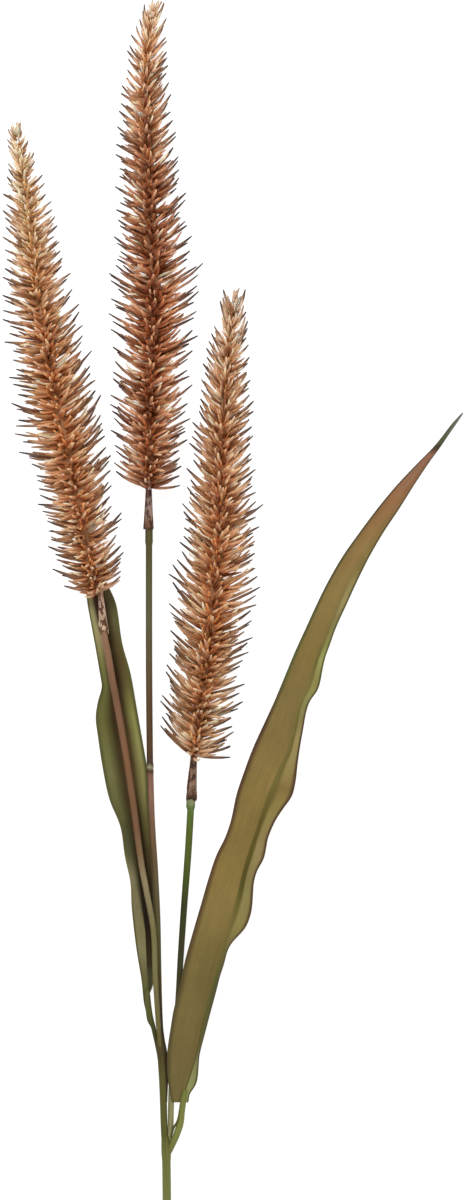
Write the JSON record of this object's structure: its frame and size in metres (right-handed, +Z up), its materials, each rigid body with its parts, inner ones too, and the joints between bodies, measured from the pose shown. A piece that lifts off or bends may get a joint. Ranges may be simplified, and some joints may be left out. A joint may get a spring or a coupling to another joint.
{
  "type": "dried fountain grass spray",
  "caption": "Dried fountain grass lying flat: tapering bristly heads in short sleeves and long folded leaves on a thin forked stem with a plain cut end.",
  "frame": {"origin": "on the table plane, under the middle of the spray's length and width", "axes": "+Y along the spray from the cut end to the heads, +X to the side of the big leaf, +Z up from the table"},
  "size_m": [0.2298, 0.6299, 0.0397],
  "materials": {
    "tan_bristles": "matt tan bristles, darker inside, pale at the tips",
    "brown_bristles": "matt reddish brown bristles, pale at the tips",
    "mauve_sleeve": "dull mauve brown, streaked",
    "green_stem": "satin olive green",
    "brown_stem": "satin reddish brown, green where it meets the fork",
    "olive_leaf": "matt olive brown with fine lengthwise veins and a green midrib"
  },
  "bodies": {
    "root": {"main_stem": "green_stem", "upper_stem": "green_stem", "left_spike_stem": "brown_stem", "middle_spike_stem": "brown_stem", "right_spike_stem": "green_stem", "left_spike_sleeve": "mauve_sleeve", "middle_spike_sleeve": "mauve_sleeve", "right_spike_sleeve": "mauve_sleeve", "left_spike": "tan_bristles", "middle_spike": "brown_bristles", "right_spike": "tan_bristles", "left_leaf": "olive_leaf", "right_leaf": "olive_leaf"}
  },
  "joints": []
}
